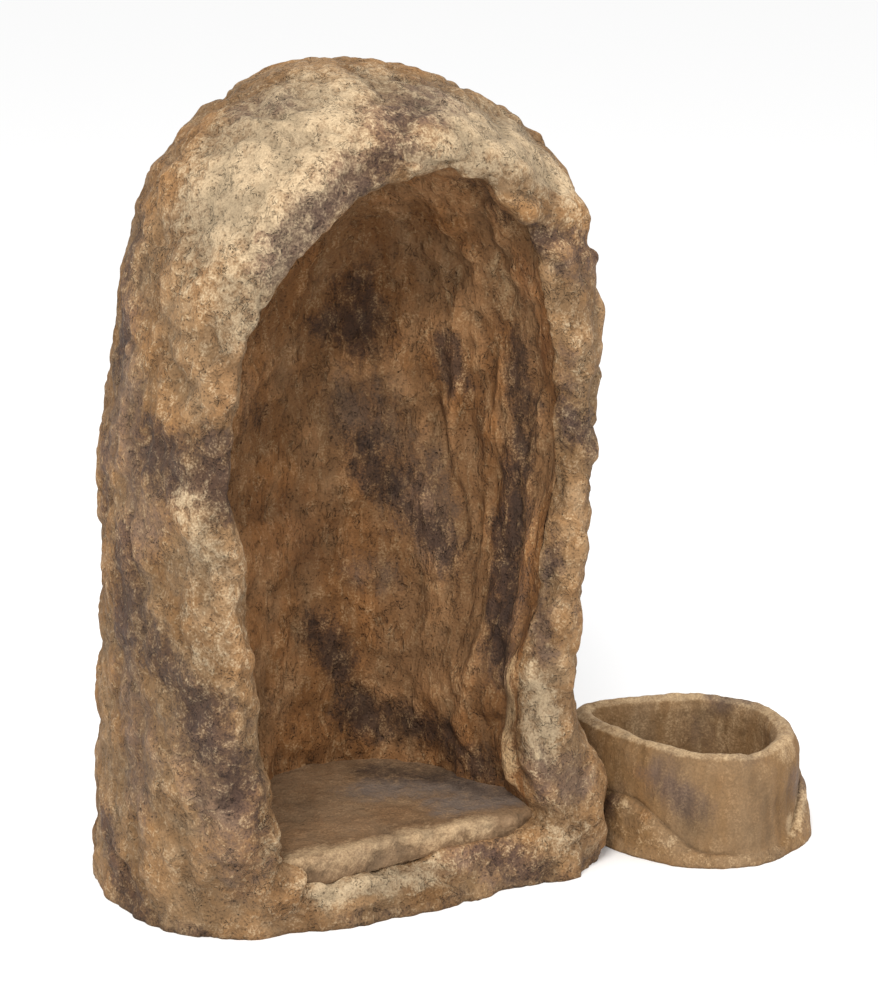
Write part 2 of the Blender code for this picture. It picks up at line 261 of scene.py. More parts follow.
def cut_where_zero(bm, field):
    """New edges along the line where the field, one number per point, changes sign."""
    layer = bm.verts.layers.float.new("cut")
    bm.verts.ensure_lookup_table()
    for v, value in zip(bm.verts, field):
        v[layer] = value if abs(value) > 1e-7 else 1e-7
    fresh = []
    for e in list(bm.edges):
        a, b = e.verts
        if a[layer] * b[layer] < 0:
            share = a[layer] / (a[layer] - b[layer])
            _, v = bmesh.utils.edge_split(e, a, min(max(share, 0.05), 0.95))
            v[layer] = 0.0
            fresh.append(v)
    marked = set(fresh)
    for f in {f for v in fresh for f in v.link_faces}:
        ends = [v for v in f.verts if v in marked]
        if len(ends) == 2 and not bm.edges.get(ends):
            bmesh.utils.face_split(f, ends[0], ends[1])
    return layer


def on_mesh(bm, values, rounds):
    """The values, one number per point, evened out over the mesh."""
    ends = np.array([(e.verts[0].index, e.verts[1].index) for e in bm.edges])
    both = np.concatenate([ends, ends[:, ::-1]])
    count = np.bincount(both[:, 0], minlength=len(values))
    for _ in range(rounds):
        mean = np.bincount(both[:, 0], values[both[:, 1]], len(values)) / count
        values = 0.5 * values + 0.5 * mean
    return values


def negative_side(bm, layer):
    """Faces on the negative side of the cut. An island on either side goes to the other."""
    inside = {f for f in bm.faces if sum(v[layer] for v in f.verts) < 0}
    left = set(bm.faces)
    while left:
        first = left.pop()
        group, queue = [first], [first]
        while queue:
            for e in queue.pop().edges:
                for f in e.link_faces:
                    if f in left and (f in inside) == (first in inside):
                        left.remove(f)
                        group.append(f)
                        queue.append(f)
        if len(group) < SMALLEST_ISLAND:
            inside = inside - set(group) if first in inside else inside | set(group)
    return inside


def open_rims(bm):
    """The open edges that a split leaves, as lists of points in order round each rim."""
    left = {e for e in bm.edges if e.is_boundary}
    rims = []
    while left:
        e = left.pop()
        first, v = e.verts
        rim = [first]
        while v is not first:
            rim.append(v)
            e = next((o for o in v.link_edges if o in left), None)
            if e is None:
                break
            left.remove(e)
            v = e.other_vert(v)
        if v is first:
            rims.append(rim)
    return rims


def strip(bm, first, second, closed):
    """Triangles between two rows of points that run side by side."""
    a = np.array([v.co for v in first])
    b = np.array([v.co for v in second])
    last_a, last_b = (len(a), len(b)) if closed else (len(a) - 1, len(b) - 1)
    i = j = 0
    while i < last_a or j < last_b:
        here_a, here_b = i % len(a), j % len(b)
        next_a, next_b = (i + 1) % len(a), (j + 1) % len(b)
        to_a = np.linalg.norm(a[next_a] - b[here_b]) if i < last_a else 9.0
        to_b = np.linalg.norm(b[next_b] - a[here_a]) if j < last_b else 9.0
        if to_a < to_b:
            bm.faces.new((first[here_a], first[next_a], second[here_b]))
            i += 1
        else:
            bm.faces.new((first[here_a], second[next_b], second[here_b]))
            j += 1


def close_two(bm, outer, inner):
    """A band between two rims."""
    a = np.array([v.co for v in outer])
    b = np.array([v.co for v in inner])
    turn_a = np.cross(a - a.mean(0), np.roll(a, -1, 0) - a.mean(0)).sum(0)
    turn_b = np.cross(b - b.mean(0), np.roll(b, -1, 0) - b.mean(0)).sum(0)
    if turn_a @ turn_b < 0:
        inner, b = inner[::-1], b[::-1]
    start = int(np.linalg.norm(b - a[0], axis=1).argmin())
    strip(bm, outer, inner[start:] + inner[:start], True)


def close_arch(bm, rim, seen):
    """A face over the skin's cut edge: the rim runs up the outside and back down the inside."""
    outside = [v[seen] for v in rim]
    turns = [k for k in range(len(rim)) if outside[k] and not outside[k - 1]]
    longest = []
    for k in turns:
        run = rim[k:] + rim[:k]
        length = next((i for i, v in enumerate(run) if not v[seen]), len(run))
        if length > len(longest):
            longest, rest = run[:length], run[length:]
    strip(bm, longest, rest[::-1], False)


def close_rims(bm):
    """Caps the open edges that a split leaves."""
    seen = bm.verts.layers.int["seen"]
    rims = open_rims(bm)
    flat = [r for r in rims if max(abs(v.co.y - SEAM_Y) for v in r) < SEAM_BAND]
    for rim in flat:
        close_arch(bm, rim, seen)
    others = sorted((r for r in rims if r not in flat), key=len, reverse=True)[:2]
    if len(others) == 2:
        close_two(bm, *others)
    bmesh.ops.recalc_face_normals(bm, faces=bm.faces)


# ---------------------------------------------------------------- the rock's relief

# Ridges and grooves on the rock, listed one by one: start, end, reach, height
ROCK_MARKS = [
    # stepped ledges on the right shoulder
    ((0.150, -0.160, 0.838), (0.262, -0.120, 0.806), 0.026, 0.0095),
    ((0.180, -0.160, 0.800), (0.285, -0.110, 0.776), 0.015, -0.0100),
    ((0.190, -0.165, 0.785), (0.280, -0.130, 0.762), 0.016, 0.0090),
    ((0.205, -0.160, 0.758), (0.300, -0.100, 0.740), 0.014, -0.0090),
    ((0.210, -0.165, 0.735), (0.240, -0.160, 0.700), 0.030, -0.0050),
    ((0.262, -0.140, 0.740), (0.285, -0.130, 0.690), 0.026, 0.0070),
    # creases across the right pillar
    ((0.188, -0.160, 0.615), (0.255, -0.165, 0.590), 0.011, -0.0060),
    ((0.195, -0.165, 0.560), (0.245, -0.170, 0.548), 0.012, -0.0050),
    ((0.215, -0.175, 0.520), (0.225, -0.180, 0.430), 0.020, 0.0035),
    ((0.188, -0.165, 0.430), (0.190, -0.175, 0.330), 0.014, -0.0045),
    # valley that follows the left of the arch
    ((0.060, -0.110, 0.950), (-0.020, -0.150, 0.905), 0.020, -0.0050),
    ((-0.020, -0.155, 0.905), (-0.135, -0.160, 0.838), 0.018, -0.0040),
    ((-0.070, -0.155, 0.905), (-0.150, -0.150, 0.865), 0.030, 0.0050),
    ((0.020, -0.150, 0.925), (0.110, -0.140, 0.930), 0.022, 0.0040),
    # left shoulder, flank and jamb
    ((-0.215, 0.015, 0.870), (-0.255, 0.045, 0.730), 0.050, 0.0050),
    ((-0.200, -0.120, 0.800), (-0.235, -0.110, 0.700), 0.050, 0.0045),
    ((-0.150, -0.150, 0.790), (-0.190, -0.150, 0.720), 0.030, -0.0035),
    ((-0.268, -0.060, 0.700), (-0.288, -0.040, 0.560), 0.024, -0.0050),
    ((-0.230, -0.160, 0.610), (-0.290, -0.080, 0.595), 0.022, -0.0050),
    ((-0.262, -0.145, 0.520), (-0.262, -0.150, 0.500), 0.042, 0.0050),
    ((-0.230, -0.170, 0.460), (-0.285, -0.100, 0.450), 0.022, -0.0045),
    ((-0.240, -0.170, 0.400), (-0.250, -0.165, 0.340), 0.050, 0.0045),
    ((-0.215, -0.185, 0.300), (-0.290, -0.110, 0.320), 0.024, -0.0045),
    # finger of rock low on the left jamb
    ((-0.282, -0.132, 0.240), (-0.279, -0.146, 0.175), 0.013, 0.0075),
    ((-0.268, -0.155, 0.250), (-0.262, -0.165, 0.160), 0.014, -0.0045),
    # top of the sill, up against the floor's lip
    ((-0.150, -0.178, 0.064), (0.150, -0.178, 0.064), 0.026, 0.0165),
    # front of the base
    ((-0.170, -0.190, 0.046), (-0.020, -0.205, 0.030), 0.016, 0.0040),
    ((-0.100, -0.200, 0.022), (0.020, -0.210, 0.014), 0.012, -0.0050),
    ((-0.190, -0.185, 0.090), (-0.110, -0.190, 0.050), 0.020, -0.0040),
    ((0.095, -0.190, 0.060), (0.120, -0.200, 0.000), 0.018, -0.0045),
    # foot of the right pillar
    ((0.240, -0.185, 0.120), (0.255, -0.180, 0.060), 0.050, 0.0030),
    ((0.150, -0.195, 0.180), (0.165, -0.200, 0.110), 0.030, 0.0035),
]

CAVE_MARKS = [
    # roll of the right pillar, and the corner behind it
    ((0.162, -0.135, 0.120), (0.160, -0.135, 0.270), 0.026, 0.0070),
    ((0.150, -0.100, 0.110), (0.152, -0.095, 0.300), 0.022, -0.0060),
    # upright flutes on the right wall
    ((0.190, -0.085, 0.560), (0.172, -0.090, 0.300), 0.013, -0.0065),
    ((0.175, -0.060, 0.520), (0.155, -0.050, 0.200), 0.016, 0.0065),
    ((0.182, -0.030, 0.640), (0.150, -0.020, 0.260), 0.013, -0.0055),
    ((0.205, -0.110, 0.600), (0.190, -0.115, 0.350), 0.014, 0.0050),
    ((0.165, 0.010, 0.700), (0.140, 0.020, 0.350), 0.018, 0.0050),
    ((0.140, 0.040, 0.560), (0.165, -0.010, 0.350), 0.014, -0.0055),
    ((0.175, -0.060, 0.760), (0.195, -0.080, 0.620), 0.016, -0.0045),
]


def marks(points, table):
    total = np.zeros(len(points))
    for start, end, reach, height in table:
        total += height * stroke(points, start, end, reach)
    return total


def rock_relief(points, cave):
    """(broad, fine) heights in metres. Cave is 0 on the outer rock and 1 in the cave."""
    wobble = 0.012 * np.stack([noise(points, 0.07, 31 + k) for k in range(3)], 1)
    bent = points + wobble
    broad = 0.0040 * noise(bent, (0.15, 0.15, 0.19), 3) - 0.7 * ROCK_GROWS
    broad += 0.0044 * noise(bent, 0.080, 7)
    lumps = 0.0040 * fractal(bent, 0.042, 2, 11) + 0.0046 * creases(bent, 0.085, 2, 17)
    upright = (0.034, 0.034, 0.150)
    flutes = 0.0042 * noise(bent, upright, 23) + 0.0026 * creases(bent, (0.05, 0.05, 0.2), 1, 29)
    right = smoothstep(0.02, 0.16, points[:, 0])
    broad += (1 - cave) * lumps + cave * (0.65 * lumps + (0.35 + 1.2 * right) * flutes)
    broad += (1 - cave) * marks(bent, ROCK_MARKS) + 1.4 * cave * marks(bent, CAVE_MARKS)
    fine = 0.0008 * fractal(points, 0.018, 2, 41, 0.6)
    fine += 0.0010 * creases(points, 0.030, 1, 47)
    return broad, fine


# ---------------------------------------------------------------- paint

# Brush strokes: kind, start, end, reach, strength
ROCK_PAINT = [
    ("violet", (0.085, -0.070, 0.958), (0.010, -0.125, 0.935), 0.060, 0.75),
    ("dark", (0.030, -0.110, 0.948), (-0.015, -0.150, 0.905), 0.030, 0.60),
    ("dark", (-0.015, -0.155, 0.900), (-0.140, -0.160, 0.825), 0.027, 0.60),
    ("violet", (-0.060, -0.150, 0.880), (-0.150, -0.160, 0.805), 0.045, 0.80),
    ("dark", (-0.165, -0.165, 0.790), (-0.185, -0.160, 0.745), 0.020, 0.35),
    ("violet", (-0.125, -0.010, 0.955), (-0.100, -0.040, 0.957), 0.035, 0.60),
    ("dark", (-0.235, 0.060, 0.800), (-0.262, 0.060, 0.660), 0.045, 0.80),
    ("violet", (-0.255, 0.030, 0.700), (-0.280, 0.050, 0.560), 0.050, 0.80),
    ("violet", (-0.285, -0.020, 0.620), (-0.295, -0.050, 0.480), 0.050, 0.75),
    ("violet", (-0.300, -0.010, 0.330), (-0.300, -0.050, 0.160), 0.055, 0.70),
    ("violet", (-0.250, -0.175, 0.190), (-0.225, -0.190, 0.080), 0.045, 0.65),
    ("dark", (-0.285, 0.070, 0.560), (-0.285, 0.060, 0.480), 0.030, 0.70),
    ("dark", (-0.295, -0.010, 0.445), (-0.292, -0.010, 0.360), 0.048, 0.95),
    ("dark", (-0.290, -0.060, 0.400), (-0.290, -0.080, 0.345), 0.035, 0.70),
    ("dark", (-0.282, -0.070, 0.585), (-0.222, -0.165, 0.560), 0.054, 1.00),
    ("dark", (-0.235, -0.165, 0.600), (-0.222, -0.170, 0.545), 0.028, 0.80),
    ("violet", (-0.275, -0.110, 0.545), (-0.285, -0.090, 0.500), 0.035, 0.60),
    ("dark", (-0.285, -0.100, 0.340), (-0.255, -0.170, 0.290), 0.042, 0.85),
    ("dark", (-0.262, -0.165, 0.290), (-0.225, -0.190, 0.215), 0.042, 0.90),
    ("violet", (-0.270, -0.150, 0.260), (-0.230, -0.190, 0.185), 0.050, 0.75),
    ("dark", (-0.225, -0.195, 0.190), (-0.205, -0.195, 0.150), 0.028, 0.70),
    ("violet", (-0.295, -0.070, 0.260), (-0.290, -0.100, 0.210), 0.030, 0.45),
    ("dark", (-0.312, 0.030, 0.090), (-0.308, -0.030, 0.020), 0.040, 0.90),
    ("dark", (-0.310, -0.050, 0.012), (-0.260, -0.140, 0.000), 0.022, 0.60),
    ("dark", (0.170, -0.155, 0.800), (0.275, -0.130, 0.768), 0.028, 0.90),
    ("violet", (0.220, -0.150, 0.780), (0.275, -0.130, 0.740), 0.040, 0.70),
    ("dark", (0.205, -0.165, 0.600), (0.240, -0.170, 0.545), 0.034, 0.75),
    ("violet", (0.200, -0.160, 0.640), (0.230, -0.170, 0.570), 0.035, 0.60),
    ("dark", (0.193, -0.165, 0.480), (0.195, -0.170, 0.400), 0.022, 0.60),
    ("dark", (0.245, -0.175, 0.420), (0.225, -0.180, 0.330), 0.020, 0.40),
    ("violet", (0.180, -0.165, 0.390), (0.175, -0.175, 0.300), 0.030, 0.80),
    ("violet", (0.165, -0.195, 0.140), (0.215, -0.200, 0.125), 0.045, 0.85),
    ("dark", (0.140, -0.180, 0.125), (0.155, -0.190, 0.110), 0.025, 0.60),
    ("dark", (0.095, -0.185, 0.062), (0.150, -0.195, 0.030), 0.034, 0.85),
    ("violet", (0.060, -0.185, 0.058), (0.130, -0.195, 0.020), 0.036, 0.70),
    ("dark", (0.160, -0.200, 0.012), (0.260, -0.180, 0.008), 0.022, 0.55),
    ("dark", (-0.100, -0.200, 0.012), (0.060, -0.208, 0.008), 0.016, 0.50),
    ("dark", (-0.150, 0.190, 0.620), (-0.090, 0.200, 0.480), 0.075, 0.80),
    ("violet", (0.080, 0.200, 0.780), (0.170, 0.180, 0.680), 0.080, 0.80),
    ("dark", (0.120, 0.200, 0.360), (0.060, 0.200, 0.240), 0.080, 0.80),
    ("violet", (-0.210, 0.170, 0.260), (-0.160, 0.190, 0.140), 0.070, 0.70),
    ("dark", (0.285, 0.030, 0.560), (0.275, 0.050, 0.400), 0.050, 0.80),
    ("violet", (0.275, 0.080, 0.880), (0.300, 0.050, 0.740), 0.055, 0.80),
    ("dark", (0.262, 0.000, 0.240), (0.262, -0.040, 0.140), 0.045, 0.70),
    ("dark", (-0.030, 0.180, 0.940), (0.060, 0.160, 0.960), 0.050, 0.60),
    ("cream", (-0.190, -0.100, 0.870), (-0.090, -0.100, 0.940), 0.110, 1.00),
    ("cream", (-0.205, -0.120, 0.820), (-0.240, -0.110, 0.690), 0.095, 0.25),
    ("cream", (-0.110, -0.155, 0.860), (-0.205, -0.165, 0.730), 0.040, 0.60),
    ("cream", (0.090, -0.110, 0.940), (0.200, -0.100, 0.900), 0.070, 0.85),
    ("cream", (0.030, -0.150, 0.905), (0.120, -0.150, 0.895), 0.030, 0.70),
    ("cream", (0.130, -0.130, 0.930), (0.225, -0.140, 0.860), 0.055, 0.75),
    ("cream", (-0.140, -0.040, 0.955), (0.020, -0.040, 0.985), 0.070, 0.60),
    ("cream", (0.110, -0.060, 0.955), (0.200, -0.060, 0.915), 0.060, 0.50),
    ("cream", (0.262, -0.110, 0.720), (0.265, -0.130, 0.600), 0.040, 0.50),
    ("cream", (-0.265, -0.145, 0.540), (-0.250, -0.155, 0.490), 0.046, 0.60),
    ("cream", (-0.235, -0.165, 0.430), (-0.245, -0.160, 0.350), 0.060, 0.45),
    ("cream", (0.165, -0.185, 0.250), (0.165, -0.195, 0.175), 0.042, 0.90),
    ("cream", (0.235, -0.165, 0.700), (0.225, -0.170, 0.640), 0.034, 0.40),
    ("cream", (-0.180, -0.190, 0.120), (-0.130, -0.195, 0.070), 0.040, 0.60),
    ("cream", (-0.120, -0.180, 0.050), (0.030, -0.190, 0.050), 0.028, 0.95),
    ("cream", (0.180, -0.205, 0.070), (0.225, -0.200, 0.050), 0.045, 0.50),
    ("rust", (-0.205, -0.165, 0.690), (-0.215, -0.170, 0.620), 0.045, 0.70),
    ("rust", (-0.220, -0.165, 0.480), (-0.225, -0.170, 0.330), 0.035, 0.60),
    ("rust", (0.250, -0.150, 0.700), (0.245, -0.160, 0.620), 0.030, 0.35),
    ("rust", (0.205, -0.175, 0.500), (0.215, -0.180, 0.440), 0.040, 0.35),
    ("rust", (-0.240, -0.150, 0.110), (-0.160, -0.180, 0.030), 0.070, 0.50),
    ("rust", (0.215, -0.190, 0.260), (0.235, -0.190, 0.190), 0.040, 0.50),
]

CAVE_PAINT = [
    ("dark", (0.062, 0.080, 0.705), (0.075, 0.070, 0.640), 0.036, 0.90),
    ("dark", (0.020, 0.090, 0.665), (0.060, 0.080, 0.640), 0.034, 0.80),
    ("dark", (0.155, 0.030, 0.635), (0.165, 0.020, 0.585), 0.026, 0.90),
    ("dark", (0.200, -0.065, 0.645), (0.205, -0.070, 0.590), 0.030, 0.90),
    ("dark", (0.070, 0.080, 0.490), (0.095, 0.070, 0.455), 0.036, 0.95),
    ("dark", (0.100, 0.060, 0.450), (0.165, 0.010, 0.350), 0.030, 0.90),
    ("dark", (0.203, -0.080, 0.560), (0.185, -0.070, 0.430), 0.034, 1.00),
    ("dark", (0.190, -0.070, 0.430), (0.170, -0.085, 0.280), 0.034, 1.00),
    ("violet", (0.180, -0.085, 0.480), (0.165, -0.100, 0.250), 0.048, 0.80),
    ("dark", (0.010, 0.095, 0.265), (0.040, 0.090, 0.220), 0.036, 0.90),
    ("dark", (0.035, 0.090, 0.215), (0.070, 0.080, 0.160), 0.026, 0.60),
    ("dark", (0.050, 0.080, 0.140), (0.150, 0.000, 0.140), 0.038, 0.95),
    ("dark", (0.150, -0.020, 0.120), (0.155, -0.090, 0.110), 0.030, 0.90),
    ("violet", (0.055, 0.085, 0.340), (0.090, 0.070, 0.330), 0.034, 0.60),
    ("violet", (0.120, 0.045, 0.420), (0.150, 0.020, 0.370), 0.045, 0.80),
    ("violet", (0.060, 0.085, 0.560), (0.140, 0.040, 0.440), 0.060, 0.70),
    ("dark", (-0.110, 0.060, 0.600), (-0.070, 0.080, 0.560), 0.035, 0.50),
    ("dark", (0.120, -0.080, 0.860), (0.165, -0.100, 0.820), 0.025, 0.55),
    ("dark", (-0.190, -0.060, 0.460), (-0.180, -0.050, 0.350), 0.045, 0.80),
    ("violet", (-0.185, -0.050, 0.620), (-0.200, -0.090, 0.560), 0.045, 0.70),
    ("dark", (-0.160, -0.060, 0.200), (-0.150, -0.030, 0.140), 0.040, 0.70),
    ("dark", (-0.070, 0.090, 0.180), (-0.040, 0.090, 0.150), 0.025, 0.40),
    ("cream", (0.150, 0.010, 0.720), (0.165, -0.010, 0.540), 0.040, 0.25),
    ("cream", (0.185, -0.050, 0.740), (0.195, -0.060, 0.690), 0.035, 0.50),
    ("cream", (0.155, -0.030, 0.500), (0.150, -0.030, 0.380), 0.028, 0.40),
    ("cream", (0.160, -0.135, 0.260), (0.158, -0.135, 0.130), 0.024, 0.90),
    ("cream", (0.170, -0.115, 0.450), (0.170, -0.125, 0.330), 0.020, 0.45),
    ("rust", (0.190, -0.090, 0.740), (0.200, -0.110, 0.640), 0.040, 0.60),
    ("rust", (0.090, 0.070, 0.560), (0.120, 0.050, 0.500), 0.050, 0.30),
    ("rust", (-0.050, 0.090, 0.420), (0.000, 0.095, 0.380), 0.070, 0.50),
]

FLOOR_PAINT = [
    ("violet", (0.030, -0.020, 0.087), (0.150, -0.070, 0.087), 0.050, 0.80),
    ("violet", (0.080, -0.110, 0.087), (0.165, -0.130, 0.087), 0.034, 0.80),
    ("dark", (0.060, 0.030, 0.087), (0.150, -0.030, 0.087), 0.045, 0.80),
    ("dark", (0.140, -0.070, 0.087), (0.165, -0.110, 0.087), 0.028, 0.60),
    ("rust", (-0.120, -0.080, 0.087), (0.020, -0.110, 0.087), 0.060, 0.40),
    ("cream", (-0.150, -0.165, 0.087), (0.100, -0.172, 0.087), 0.030, 0.80),
    ("rust", (-0.120, -0.165, 0.087), (0.060, -0.170, 0.087), 0.030, 0.60),
]

BASIN_PAINT = [
    ("violet", (0.335, -0.195, 0.110), (0.365, -0.228, 0.075), 0.034, 0.85),
    ("dark", (0.338, -0.205, 0.098), (0.352, -0.218, 0.080), 0.022, 0.45),
    ("violet", (0.520, -0.235, 0.085), (0.545, -0.190, 0.060), 0.032, 0.80),
    ("violet", (0.400, -0.225, 0.132), (0.440, -0.245, 0.128), 0.022, 0.60),
    ("violet", (0.500, -0.080, 0.146), (0.545, -0.110, 0.140), 0.026, 0.70),
    ("dark", (0.300, -0.140, 0.080), (0.302, -0.125, 0.030), 0.024, 0.80),
    ("violet", (0.460, -0.070, 0.115), (0.505, -0.090, 0.085), 0.034, 0.35),
    ("rust", (0.315, -0.180, 0.105), (0.320, -0.190, 0.060), 0.024, 0.80),
    ("rust", (0.395, -0.250, 0.100), (0.470, -0.262, 0.050), 0.040, 0.30),
    ("rust", (0.410, -0.060, 0.115), (0.440, -0.065, 0.080), 0.030, 0.30),
    ("cream", (0.400, -0.235, 0.140), (0.500, -0.240, 0.138), 0.026, 0.35),
    ("cream", (0.500, -0.240, 0.138), (0.545, -0.170, 0.140), 0.030, 0.35),
    ("cream", (0.300, -0.150, 0.066), (0.312, -0.185, 0.046), 0.014, 0.70),
    ("cream", (0.312, -0.185, 0.040), (0.345, -0.220, 0.026), 0.012, 0.60),
    ("cream", (0.505, -0.250, 0.024), (0.550, -0.220, 0.056), 0.020, 0.70),
]
KINDS = ("dark", "violet", "cream", "rust")


def painted(points, strokes):
    """One number from 0 to 1 per point for each kind of paint."""
    bend = np.stack([fractal(points, 0.035, 2, 61 + k) for k in range(3)], 1)
    ragged = points + PAINT_RAGGED * bend
    made = np.zeros((len(points), len(KINDS)))
    for kind, start, end, reach, strength in strokes:
        column = KINDS.index(kind)
        value = strength * stroke(ragged, start, end, reach * PAINT_WIDER)
        made[:, column] = 1 - (1 - made[:, column]) * (1 - value)
    return made


# ---------------------------------------------------------------- building the pieces

def finished(bm, name, faces, capped=True):
    """An object from these faces of a painted bmesh, which stays as it is."""
    keep = {f.index for f in faces}
    part = bm.copy()
    part.faces.ensure_lookup_table()
    drop = [f for f in part.faces if f.index not in keep]
    bmesh.ops.delete(part, geom=drop, context="FACES")
    if capped:
        close_rims(part)
    mesh = bpy.data.meshes.new(name)
    part.to_mesh(mesh)
    normal = part.verts.layers.float_vector["facing"]
    part.verts.ensure_lookup_table()
    facing = [tuple(v[normal]) for v in part.verts]
    part.free()
    mesh.shade_smooth()
    mesh.normals_split_custom_set_from_vertices(facing)
    obj = bpy.data.objects.new(name, mesh)
    bpy.context.scene.collection.objects.link(obj)
    return obj


def store(bm, paint, relief, seen):
    """Writes the paint, the relief, the side and the facing direction onto the points."""
    normal = bm.verts.layers.float_vector.new("facing")
    outside = bm.verts.layers.int.new("seen")
    colour = bm.verts.layers.float_color.new("paint")
    height = bm.verts.layers.float.new("relief")
    for v, p, h, side in zip(bm.verts, paint, relief, seen):
        v[outside] = int(side)
        v[normal] = v.normal
        v[colour] = p
        v[height] = h
    bm.faces.index_update()


def spread(points, known, values):
    """Each point takes the value of the nearest point where known is True."""
    where = np.nonzero(known)[0]
    tree = KDTree(len(where))
    for k, index in enumerate(where):
        tree.insert(points[index], k)
    tree.balance()
    made = values.copy()
    for index in np.nonzero(~known)[0]:
        made[index] = values[where[tree.find(points[index])[1]]]
    return made


def make_grotto():
    skins = ("hood_front", "hood_rear")
    bm = fused(skins + CAVE_PANELS, ROCK_GRID, ROCK_GROWS)
    points = coordinates(bm)
    points = relaxed(bm, points, ROCK_ROUNDS, points[:, 2] < GROUND)
    set_coordinates(bm, points)
    bmesh.ops.bisect_plane(bm, geom=bm.verts[:] + bm.edges[:] + bm.faces[:], dist=1e-6,
                           plane_co=(0, SEAM_Y, 0), plane_no=(0, 1, 0))
    bm.verts.index_update()
    points = coordinates(bm)
    side = nearness(points, CAVE_PANELS, skins)
    cut = cut_where_zero(bm, on_mesh(bm, side, CUT_ROUNDS))
    bm.verts.index_update()
    bm.verts.ensure_lookup_table()
    bm.normal_update()
    points = coordinates(bm)
    side = np.array([v[cut] for v in bm.verts])
    cave = smoothstep(CAVE_BLEND, -CAVE_BLEND, side)
    facing = np.array([v.normal for v in bm.verts], float)
    seen = seen_points(bm, points)
    broad, fine = rock_relief(points, cave)
    # The basin's foot needs its room
    basin_low, basin_high = (np.array(c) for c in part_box("basin_skirt"))
    away = np.linalg.norm(points - np.clip(points, basin_low, basin_high), axis=1)
    broad = np.where(broad > 0, broad * smoothstep(0.0, BASIN_ROOM, away), broad)
    low = smoothstep(0.0, 0.02, points[:, 2])
    fine = fine * low
    shift = broad[:, None] * facing
    shift[:, 2] *= low
    shift = spread(points, seen, shift)
    moved = points + shift + np.where(seen, fine, 0)[:, None] * facing
    moved[:, 2] = np.where(points[:, 2] < GROUND, points[:, 2] * 0, np.maximum(moved[:, 2], 0))
    paint = painted(moved, ROCK_PAINT) * (1 - cave)[:, None]
    paint += painted(moved, CAVE_PAINT) * cave[:, None]
    set_coordinates(bm, moved)
    store(bm, paint, (broad + fine) / RELIEF_UNIT, seen)
    inner = negative_side(bm, cut)
    rear = {f for f in bm.faces if f not in inner and f.calc_center_median().y > SEAM_Y}
    front = {f for f in bm.faces if f not in inner and f not in rear}
    made = []
    for name, faces, nodes in (
        ("hood_front_rock", front, ("hood_front",)),
        ("hood_rear_rock", rear, ("hood_rear",)),
        ("cave_liner_rock", inner, CAVE_PANELS),
    ):
        made.append((finished(bm, name, faces), nodes))
    bm.free()
    return made


def make_floor():
    bm = fused(("niche_floor",), ROCK_GRID * 0.7, BASIN_GROWS)
    points = coordinates(bm)
    low, high = (np.array(c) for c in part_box("niche_floor"))
    points = relaxed(bm, points, FLOOR_ROUNDS, np.zeros(len(points), bool))
    middle = (low + high) / 2
    share = np.clip((points - middle) / (high - middle), (-1, 0, 0), 1)
    grown = points + share * SLAB_REACH
    front = smoothstep(0.030, 0.008, grown[:, 1] - low[1])
    grown[:, 2] -= SLAB_DROP * front * smoothstep(middle[2], low[2], points[:, 2])
    set_coordinates(bm, grown)
    facing = np.array([v.normal for v in bm.verts], float)
    height = 0.0016 * fractal(grown, 0.06, 2, 71) + 0.0008 * fractal(grown, 0.02, 2, 73)
    rim = smoothstep(0.020, 0.004, grown[:, 1] - low[1])
    height += rim * (0.0024 * fractal(grown, 0.030, 2, 77) + 0.0016 * creases(grown, 0.022, 2, 79))
    moved = grown + height[:, None] * facing
    set_coordinates(bm, moved)
    bm.verts.index_update()
    everywhere = np.ones(len(moved), bool)
    store(bm, painted(moved, FLOOR_PAINT), height / FINE_UNIT, everywhere)
    made = finished(bm, "niche_floor_stone", list(bm.faces), False)
    bm.free()
    return [(made, ("niche_floor",))]


